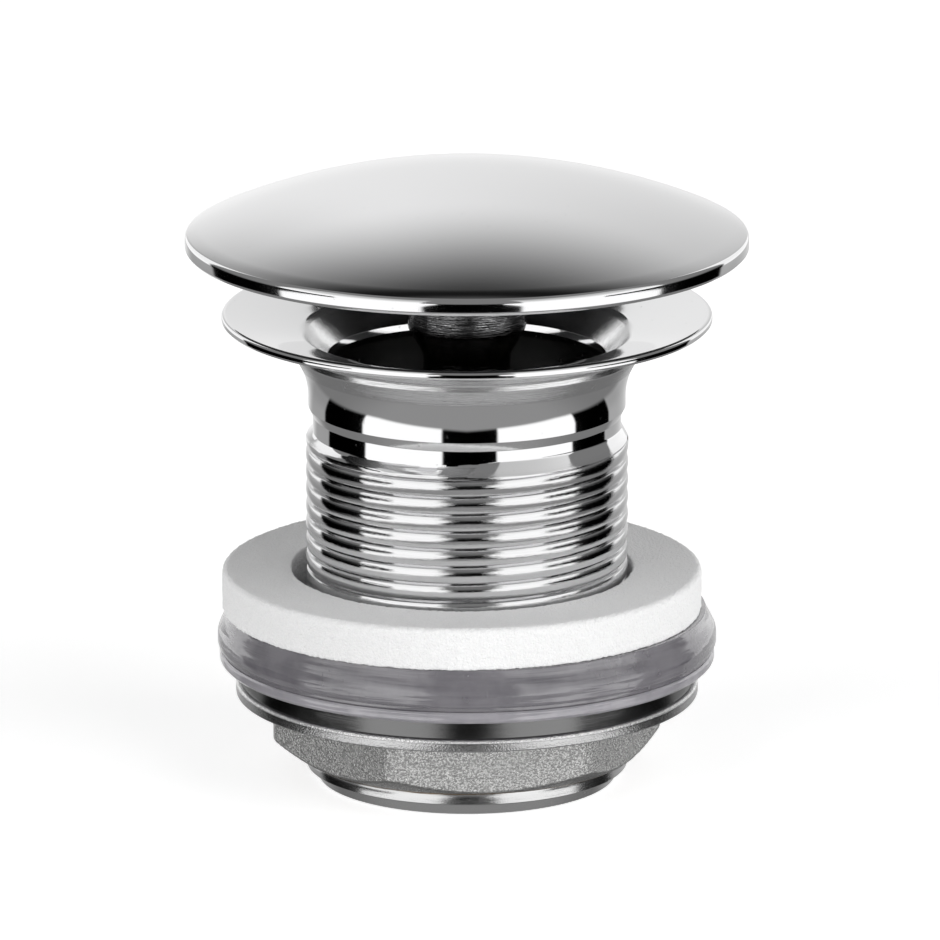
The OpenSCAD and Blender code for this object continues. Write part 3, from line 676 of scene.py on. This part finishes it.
def threadDepth(angles, heights):
    shape = threadShape
    pitch = shape["pitch"]
    root = shape["endHeight"] + pitch * (np.degrees(angles) - shape["endAngle"]) / 360
    turn = (heights - root) / pitch
    nearest = np.round(turn)
    above = (turn - np.floor(turn)) * pitch
    vee = shape["depth"] * (1 - np.abs(turn - nearest) * pitch / shape["halfGroove"])
    made = np.maximum(shape["crown"] * (above - shape["apex"]) ** 2, vee)
    turnBack = shape["endAngle"] - np.degrees(angles) - 360 * np.where(turn > 0, nearest, np.floor(turn))
    fade = np.clip(turnBack / shape["fade"], 0, 1)
    foot = np.clip((heights - shape["footFrom"]) / (shape["footTo"] - shape["footFrom"]), 0, 1)
    return made * fade * fade * (3 - 2 * fade) * foot


def shoulderRadius(angles, heights):
    shape, body = shoulderShape, bodyShape
    degrees = np.degrees(angles)
    steep = np.interp(degrees, [0, shape["gone"], shape["back"], shape["full"], shape["from"], 360], [0, 0, 1, 1, 0, 0])
    foot = body["threadTop"] + (shape["steepFoot"] - body["threadTop"]) * steep
    top = body["undercutFoot"] + (shape["steepTop"] - body["undercutFoot"]) * steep
    rise = np.clip((heights - foot) / (top - foot), 0, 1)
    return body["threadRadius"] + (body["undercut"] - body["threadRadius"]) * rise


def threadGrid():
    shape = bodyShape
    pitch = threadShape["pitch"]
    turns, rows = np.arange(*threadShape["turns"]), np.array(threadShape["rows"])
    starts = (turns[:, None] * pitch + rows[None, :]).ravel()
    angles = turnAngles(shape["steps"])
    heights = threadShape["endHeight"] + starts[:, None] + pitch * (np.degrees(angles) - threadShape["endAngle"]) / 360
    heights = np.clip(heights, shape["threadFoot"], shape["seam"])
    keep = (heights.max(1) > shape["threadFoot"]) & (heights.min(1) < shape["seam"])
    first, last = np.argmax(keep), len(keep) - np.argmax(keep[::-1])
    heights = heights[max(first - 1, 0):last + 1]
    base = shoulderRadius(angles[None, :], heights)
    radius = np.minimum(base, shape["threadRadius"] - threadDepth(angles[None, :], heights))
    points = np.stack([radius * np.cos(angles), radius * np.sin(angles), heights], -1)
    return gridFaces(points * mm)


def bodyOutline():
    shape = bodyShape
    neck, flange, low, flareSlope = (shape[key] for key in ("neck", "flange", "flangeLow", "flareSlope"))
    dishSlope = (shape["flangeTop"] - shape["lipHeight"]) / (flange - shape["lip"])
    lowRadius = flange - shape["edge"]
    flareTop = low - dishSlope * (lowRadius - neck + flareSlope * shape["flareStart"])
    flareTop /= 1 - dishSlope * flareSlope
    flareRadius = neck + flareSlope * (flareTop - shape["flareStart"])
    return rounded([
        (shape["undercut"], shape["seam"], 0),
        (shape["undercut"], shape["undercutTop"], 0.2),
        (neck, shape["neckFoot"], 0.12),
        (neck, shape["flareStart"], shape["flareFillet"]),
        *shape["land"],
        (flareRadius + 0.1, flareTop, 0.5),
        (lowRadius, low, 0.1),
        (flange, low + shape["edge"], 0.1),
        (flange, shape["flangeTop"] - 0.05, 0.5),
        (shape["lip"], shape["lipHeight"], 2),
        (shape["ledge"], shape["ledgeHeight"], 0.15),
        (shape["bore"], shape["boreHeight"], 0.15),
        (shape["bore"], shape["bridge"], 0),
        (shape["tailBore"], shape["bridge"], 0),
        (shape["tailBore"], 0, 0.4),
        *shape["tailFoot"],
        (shape["threadRadius"], shape["threadFoot"], 0),
    ])


bodyPiece = meshFrom("wasteBodyShell", [threadGrid(), ringGrid(bodyOutline(), bodyShape["steps"], loop=False)], 28)
finishPiece(bodyPiece, "tube", materials["bodyChrome"], ["waste_body"])
print("stage: waste body made")


# Cap: a polished dome with a short upright rim
capShape = {
    "radius": 36.5, "low": 70.5, "rimTop": 72.65, "apex": 80.75, "lowEdge": 0.45, "wall": 2.2, "rimWall": 2.3,
    "rimFillet": 0.9, "blend": 1.4, "domeEdge": 2.0, "underEdge": 4, "seat": 72.2, "hub": 6.6, "stud": 4.03,
    "hubTop": 78.2, "steps": 480, "domeRows": 46, "underRows": 24,
}


def capOutline():
    shape = capShape
    edge, low, rimTop = shape["radius"], shape["low"], shape["rimTop"]
    rise = shape["apex"] - rimTop
    domeRadius = (edge**2 + rise**2) / (2 * rise)
    centre = shape["apex"] - domeRadius

    def domeRow(radius, sphere):
        return (radius, centre + math.sqrt(sphere**2 - radius**2))

    # The last point only gives the first corner its direction
    rim = rounded([
        (edge - shape["rimWall"], low, 0.1), (edge - shape["lowEdge"], low, 0.15),
        (edge, low + shape["lowEdge"], 0.25), (edge, rimTop - 0.1, shape["rimFillet"]),
        (*domeRow(edge - shape["blend"], domeRadius), 0), (edge - 8, rimTop - 0.3, 0),
    ])[:-1]
    outer = [domeRow(radius, domeRadius) for radius in np.linspace(edge - shape["domeEdge"], 0, shape["domeRows"])]
    inner = domeRadius - shape["wall"]
    innerEdge = edge - shape["rimWall"]
    underEdge = innerEdge - shape["underEdge"]
    under = [domeRow(radius, inner) for radius in np.linspace(0, underEdge, shape["underRows"])]
    under += [(underEdge, shape["seat"]), (innerEdge, shape["seat"])]
    return np.concatenate([rim, outer, under])


def capHub():
    shape = capShape
    inner, outer, low, high = shape["stud"], shape["hub"], shape["seat"], shape["hubTop"]
    return [(inner, low), (outer, low), (outer, high), (inner, high)]


capPiece = meshFrom("capShell", [ringGrid(capOutline(), capShape["steps"]), ringGrid(capHub())], 30)
finishPiece(capPiece, "plug", materials["capChrome"], ["cap"])

# Stem: the turned head under the cap, on a thinner shank
stemShape = {
    "low": 43.0, "high": 68.0, "shank": 5.65, "head": 7.7, "shankTop": 56.6, "headFoot": 60.2, "chamfer": 0.3,
    "steps": 240,
}


def stemOutline():
    shape = stemShape
    shank, head, low, high, chamfer = (shape[key] for key in ("shank", "head", "low", "high", "chamfer"))
    return rounded([
        (0, low, 0), (shank - chamfer, low, 0), (shank, low + chamfer, 0.1), (shank, shape["shankTop"], 3),
        (head, shape["headFoot"], 1.6), (head, high - chamfer, 0.1), (head - chamfer, high, 0), (0, high, 0),
    ])


stemPiece = meshFrom("stemShell", [ringGrid(spread(stemOutline(), 1.0), stemShape["steps"])], 30)
finishPiece(stemPiece, "plug", materials["stemChrome"], ["stem"])
print("stage: cap and stem made")


# Foam washer: cut from sheet, so its edges are slightly ragged
foamShape = {
    "hole": 22.3, "softEdge": 0.8, "edge": 0.3, "longest": 0.35, "fine": 0.045, "broad": 0.05, "skin": 0.04,
    "inset": 0.06, "steps": 720, "fineWaves": (11, 60, 330, 6.0), "broadWaves": (12, 12, 9, 0.6),
}


def foamPiece():
    shape = foamShape
    low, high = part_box("foam_washer")
    bottom, top, outer, inner = low.z / mm, high.z / mm, (high.x - low.x) / 2 / mm, shape["hole"]
    rows = spread(rounded([
        (inner, bottom, 0), (outer, bottom, shape["edge"]), (outer, top, shape["softEdge"]),
        (inner, top, shape["edge"]),
    ], 5), shape["longest"])
    angles = turnAngles(shape["steps"])
    radius = np.repeat(rows[:, :1], len(angles), 1)
    height = np.repeat(rows[:, 1:], len(angles), 1)
    along = np.cumsum(np.linalg.norm(rows - np.roll(rows, 1, 0), axis=1))[:, None]
    fine = waves(*shape["fineWaves"])(angles[None, :], along)
    broad = waves(*shape["broadWaves"])(angles[None, :], along)
    side = np.clip((radius - inner) / (outer - inner), 0, 1) * 2 - 1
    ragged = shape["fine"] * fine + shape["broad"] * broad
    radius = radius + np.sign(side) * ragged - shape["inset"]
    height = height + shape["skin"] * fine * np.where(height > (top + bottom) / 2, 1, -1)
    height = np.clip(height, bottom, top)
    rows = np.stack([radius, height], -1)
    rows[:, -1] = rows[:, 0]
    points, quads = ringGrid(rows)
    points[:, 0] += (low.x + high.x) / 2
    return meshFrom("foamWasherSoft", [(points, quads)], 60)


foam = foamPiece()
finishPiece(foam, "washers", materials["whiteFoam"], ["foam_washer"])

# Lipped seal and the slip washer moulded against it
threadGap = 21.055
sealShape = {
    "foot": 0.5, "footHeight": 0.55, "lipHeight": 0.9, "rollHeight": 2.55, "rollFillet": 2.0, "crown": 1.2,
    "crownDrop": 0.5, "top": 1.4,
}
slipShape = {"foot": 0.4, "lipDrop": 0.25}
sealLow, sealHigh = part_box("under_seal")
slipLow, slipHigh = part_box("slip_washer")


def sealOutline():
    shape = sealShape
    bottom, top, radius = sealLow.z / mm, sealHigh.z / mm, sealHigh.x / mm
    foot = radius - shape["foot"]
    return rounded([
        (threadGap, bottom, 0.1), (foot, bottom, 0.25), (foot, bottom + shape["footHeight"], 0.05),
        (radius, bottom + shape["lipHeight"], 0.5), (radius, bottom + shape["rollHeight"], shape["rollFillet"]),
        (radius - shape["crown"], top - shape["crownDrop"], 1.0), (radius - shape["top"], top, 0.2),
        (threadGap, top, 0.1),
    ])


def slipOutline():
    shape = slipShape
    bottom, top, radius = slipLow.z / mm, sealLow.z / mm, slipHigh.x / mm
    return rounded([
        (threadGap, bottom, 0), (radius - shape["foot"], bottom, 0.1), (radius, bottom + shape["foot"], 0.3),
        (radius, top - shape["lipDrop"], 0.2), (radius - shape["lipDrop"], top, 0.05), (threadGap, top, 0),
    ])


sealPiece = meshFrom("underSealLipped", [ringGrid(spread(sealOutline(), 0.8))], 40)
finishPiece(sealPiece, "washers", materials["milkySeal"], ["under_seal"])
slipPiece = meshFrom("slipWasherRing", [ringGrid(spread(slipOutline(), 0.8))], 40)
finishPiece(slipPiece, "washers", materials["paleLip"], ["slip_washer"])
print("stage: washers made")


# Back nut: a hexagon with its corners turned to a cone, under a machined flange
def nutRows():
    shape = nutShape
    low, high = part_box("back_nut")
    bottom, top, flange = low.z / mm, high.z / mm, shape["flange"]
    hexTop = top - shape["flangeHeight"]
    flangeFoot = hexTop - shape["fillet"]
    throat = (threadGap + shape["chamfer"], bottom)
    angles = turnAngles(shape["steps"])
    sector = (np.degrees(angles) - shape["turn"]) % 60 - 30

    def softMinimum(first, second):
        gap = first - second
        return second + (gap - np.sqrt(gap**2 + shape["soft"] ** 2)) / 2

    def row(radius, height):
        return np.stack([radius + 0 * angles, np.full_like(angles, height)], -1)

    flat = softMinimum(shape["apothem"] / np.cos(np.radians(sector)), shape["cornerCap"])
    made = [row(*throat)]
    for height in np.concatenate([[bottom], np.linspace(bottom + 0.08, flangeFoot, shape["rows"])]):
        cone = shape["foot"] + (height - bottom) / shape["coneRise"]
        made.append(row(softMinimum(flat, cone), height))
    rim = hexTop + shape["rimHeight"]
    upper = rounded([
        (shape["apothem"], flangeFoot, 0), (flange - 1, flangeFoot, 0.3), (flange, hexTop, 0.2), (flange, rim, 0.4),
        (flange - 0.68, rim + 0.05, 0.05), (flange - shape["rimStep"], top, 0.3), (throat[0], top, 0.1),
        (threadGap, top - shape["chamfer"], 0), (threadGap, bottom + shape["chamfer"], 0),
    ])[1:]
    made += [row(*point) for point in spread(np.concatenate([upper, [throat]]), shape["longest"], closed=False)]
    return np.array(made)


nutPiece = meshFrom("backNutSolid", [ringGrid(nutRows())], 24)
finishPiece(nutPiece, "nut", materials["nutNickel"], ["back_nut"])
print("stage: nut made")


# Spring: round wire swept along the coil
springShape = {"wire": 0.5, "coil": 4.6, "turns": 4, "low": 14.5, "high": 27.0, "gap": 0.05}


def springPiece():
    shape = springShape
    turns = shape["turns"] + 2
    count, sides = 40 * turns, 14
    t = np.linspace(0, turns, count + 1)
    span = shape["high"] - shape["low"] - 2 * (shape["wire"] + shape["gap"])
    closed = 2 * shape["wire"] + shape["gap"]
    rise = np.interp(t, [0, 1, turns - 1, turns], [0, closed, span - closed, span])
    centre = shape["low"] + shape["wire"] + shape["gap"] + rise
    a = np.linspace(0, 2 * math.pi, sides + 1)
    radius = shape["coil"] + shape["wire"] * np.cos(a)[None, :]
    turn = 2 * math.pi * t[:, None]
    height = centre[:, None] + shape["wire"] * np.sin(a)[None, :]
    points = np.stack([radius * np.cos(turn), radius * np.sin(turn), height + 0 * turn], -1)
    ends = []
    for row in (points[:1], points[-1:]):
        middle = row.mean(1, keepdims=True).repeat(sides + 1, 1)
        ends.append(gridFaces(np.concatenate([middle, row]) * mm))
    return meshFrom("returnSpringWire", [gridFaces(points * mm), *ends], 40)


spring = springPiece()
finishPiece(spring, "plug", materials["steel"], ["return_spring"])
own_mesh(spring)

# CAD nodes that keep their own mesh
keptNodes = {
    "bridge": "bodyChrome", "cartridge_housing": "stemChrome", "lock_nut": "bareBrass", "stem_wiper": "blackRubber",
    "spacer_sleeve": "palePlastic", "end_plug": "bareBrass", "seal_carrier": "darkPlastic",
    "plug_seal": "blackRubber", "cap_stud": "bareBrass", "track_barrel": "ivoryPlastic", "plunger_rod": "steel",
    "rod_clip": "steel", "latch_ring": "orangePlastic", "latch_pegs": "steel",
}
for name, finish in keptNodes.items():
    nodes[name].data.materials.clear()
    nodes[name].data.materials.append(materials[finish])
print("stage: inner pieces finished")


# Floor, and the studio round the object as a world shader
# A fade runs between two angles in degrees, and then from one level to the other
studio = {
    "leftBox": (-82.0, -18.2, 1.2), "rightBox": (22.3, 86.0, 1.2), "boxTop": (62.0, 48.0),
    "boxLevel": (5.0, 50.0, 2.5, 1.42), "boxShare": (-5.0, 5.0, 0.9, 1.12), "boxMirrored": (5.0, 45.0, 1.15, 0.55),
    "boxFoot": -17.5, "footSlope": 0.11, "footReach": 70.0, "footSoft": 5.0, "pinch": 1.5,
    "pinchBand": (-10.5, 3.0, 2.0), "backFrom": (125.0, 128.0), "backLeft": (211.0, 187.0, 0.38, 0.88),
    "backRight": (138.0, 192.0, 0.46, 0.9), "backFoot": (-6.0, -12.0, 0.0, 0.39), "backFall": (66.0, 30.0),
    "backLow": (-24.0, -6.0, 0.7, 1.0), "backLift": (10.0, -5.0, 1.0, 1.08), "panelSide": 163.0, "panelSlope": 1.35,
    "panelSoft": (-1.0, 1.0), "panelFoot": (-9.0, -5.0), "overhead": 0.07, "overheadMirrored": 0.01,
    "overheadFrom": (45.0, 70.0), "room": 0.2, "roomFoot": (-4.0, 12.0), "roomSide": (138.0, 128.0),
    "roomTop": (66.0, 84.0), "ground": (60.0, 120.0, 0.29, 0.2), "groundDiffuse": 0.5, "seen": 0.95,
}
floorLook = {"half": 4.0, "height": -0.0001, "tone": (0.65, 0.65, 0.65, 1), "seen": (0.9, 0.9, 0.9, 1), "glow": 0.6}


def makeFloor():
    look = floorLook
    material = bpy.data.materials.new("floorPale")
    material.use_nodes = True
    tree = material.node_tree
    tree.nodes.clear()
    path = put(tree, "ShaderNodeLightPath").outputs
    back = put(tree, "ShaderNodeNewGeometry").outputs["Backfacing"]
    seen = calc(tree, "MAXIMUM", path["Is Camera Ray"], path["Is Transmission Ray"])
    tone = blendColour(tree, seen, look["tone"], look["seen"])
    diffuse = put(tree, "ShaderNodeBsdfDiffuse", {"Color": tone}).outputs[0]
    strength = times(tree, seen, look["glow"])
    glow = put(tree, "ShaderNodeEmission", {"Color": (1, 1, 1, 1), "Strength": strength})
    both = put(tree, "ShaderNodeAddShader", {0: diffuse, 1: glow.outputs[0]}).outputs[0]
    clear = put(tree, "ShaderNodeBsdfTransparent").outputs[0]
    hide = calc(tree, "MAXIMUM", back, calc(tree, "MAXIMUM", path["Is Glossy Ray"], path["Is Shadow Ray"]))
    mixed = put(tree, "ShaderNodeMixShader", {0: hide, 1: both, 2: clear}).outputs[0]
    out = put(tree, "ShaderNodeOutputMaterial")
    tree.links.new(mixed, out.inputs["Surface"])
    material.cycles.emission_sampling = "NONE"
    mesh = bpy.data.meshes.new("floorPlain")
    half = look["half"]
    mesh.from_pydata([(-half, -half, 0), (half, -half, 0), (half, half, 0), (-half, half, 0)], [], [(0, 1, 2, 3)])
    floor = bpy.data.objects.new("floorPlain", mesh)
    floor.location.z = look["height"]
    bpy.context.scene.collection.objects.link(floor)
    mesh.materials.append(material)


def makeWorld():
    world = bpy.data.worlds.new("studio")
    bpy.context.scene.world = world
    world.use_nodes = True
    tree = world.node_tree
    background = tree.nodes["Background"]
    direction = put(tree, "ShaderNodeTexCoord").outputs["Generated"]
    x, y, z = put(tree, "ShaderNodeSeparateXYZ", {0: direction}).outputs[:3]
    azimuth = calc(tree, "DEGREES", calc(tree, "ARCTAN2", x, times(tree, y, -1.0)))
    elevation = calc(tree, "DEGREES", calc(tree, "ARCSINE", z))
    side = calc(tree, "ABSOLUTE", azimuth)
    mirrored = put(tree, "ShaderNodeLightPath").outputs["Is Glossy Ray"]
    pinch = times(tree, mirrored, bandMask(tree, elevation, *studio["pinchBand"]))
    across = times(tree, azimuth, blendValue(tree, pinch, 1.0, studio["pinch"]))
    boxes = calc(
        tree, "MAXIMUM", bandMask(tree, across, *studio["leftBox"]), bandMask(tree, across, *studio["rightBox"])
    )
    boxes = times(tree, boxes, ramp(tree, elevation, *studio["boxTop"]))
    boxLevel = ramp(tree, elevation, *studio["boxLevel"])
    boxLevel = times(tree, boxLevel, ramp(tree, azimuth, *studio["boxShare"]))
    boxMirrored = ramp(tree, elevation, *studio["boxMirrored"])
    boxes = times(tree, boxes, blendValue(tree, mirrored, boxLevel, boxMirrored))
    behind = ramp(tree, side, *studio["backFrom"])
    turn = calc(tree, "FLOORED_MODULO", azimuth, 360.0)
    wide = calc(tree, "MINIMUM", ramp(tree, turn, *studio["backLeft"]), ramp(tree, turn, *studio["backRight"]))
    wide = calc(tree, "MAXIMUM", wide, ramp(tree, elevation, *studio["backFoot"]))
    inward = times(tree, calc(tree, "SUBTRACT", studio["panelSide"], side), studio["panelSlope"])
    panel = ramp(tree, calc(tree, "SUBTRACT", inward, elevation), *studio["panelSoft"])
    panel = times(tree, panel, ramp(tree, elevation, *studio["panelFoot"]))
    wide = calc(tree, "MAXIMUM", wide, panel)
    fall = ramp(tree, elevation, *studio["backFall"])
    low = times(tree, ramp(tree, elevation, *studio["backLow"]), ramp(tree, elevation, *studio["backLift"]))
    backdrop = times(tree, times(tree, behind, wide), times(tree, fall, low))
    overhead = blendValue(tree, mirrored, studio["overhead"], studio["overheadMirrored"])
    overhead = times(tree, ramp(tree, elevation, *studio["overheadFrom"]), overhead)
    upper = plus(tree, plus(tree, boxes, backdrop), overhead)
    # The room round the boxes, seen in mirrors only
    room = times(tree, ramp(tree, elevation, *studio["roomFoot"]), ramp(tree, side, *studio["roomSide"]))
    room = calc(tree, "MAXIMUM", room, ramp(tree, elevation, *studio["roomTop"]))
    room = times(tree, times(tree, room, mirrored), studio["room"])
    upper = calc(tree, "MAXIMUM", upper, room)
    ground = ramp(tree, side, *studio["ground"])
    ground = times(tree, ground, blendValue(tree, mirrored, studio["groundDiffuse"], 1.0))
    foot = calc(tree, "SUBTRACT", studio["boxFoot"], times(tree, side, studio["footSlope"]))
    foot = calc(tree, "MAXIMUM", foot, studio["boxFoot"] - studio["footReach"] * studio["footSlope"])
    rise = calc(tree, "DIVIDE", calc(tree, "SUBTRACT", foot, elevation), studio["footSoft"])
    level = blendValue(tree, ramp(tree, rise, 0.0, 1.0), upper, ground)
    seen = put(tree, "ShaderNodeLightPath").outputs["Is Camera Ray"]
    level = blendValue(tree, seen, level, studio["seen"])
    tree.links.new(level, background.inputs["Strength"])
    background.inputs["Color"].default_value = (1, 1, 1, 1)


makeFloor()
makeWorld()
print("stage: studio made")


# Camera, fitted to the photograph
cameraFit = {
    "elevation": 14.856, "distance": 1.5474, "focalPixels": 11910.0, "imagePixels": 940, "aimZ": 0.04085,
    "aimX": 0.0004, "sensor": 36.0, "clip": (0.05, 30.0),
}
cameraData = bpy.data.cameras.new("photoCamera")
camera = bpy.data.objects.new("photoCamera", cameraData)
bpy.context.scene.collection.objects.link(camera)
bpy.context.scene.camera = camera
cameraData.sensor_width = cameraFit["sensor"]
cameraData.lens = cameraFit["focalPixels"] / cameraFit["imagePixels"] * cameraFit["sensor"]
tilt = math.radians(cameraFit["elevation"])
toCamera = Vector((0, -math.cos(tilt), math.sin(tilt)))
camera.location = Vector((cameraFit["aimX"], 0, cameraFit["aimZ"])) + toCamera * cameraFit["distance"]
camera.rotation_mode = "QUATERNION"
camera.rotation_quaternion = (-toCamera).to_track_quat("-Z", "Y")
cameraData.clip_start, cameraData.clip_end = cameraFit["clip"]

bpy.context.scene.view_settings.view_transform = "Standard"
print("stage: camera set")
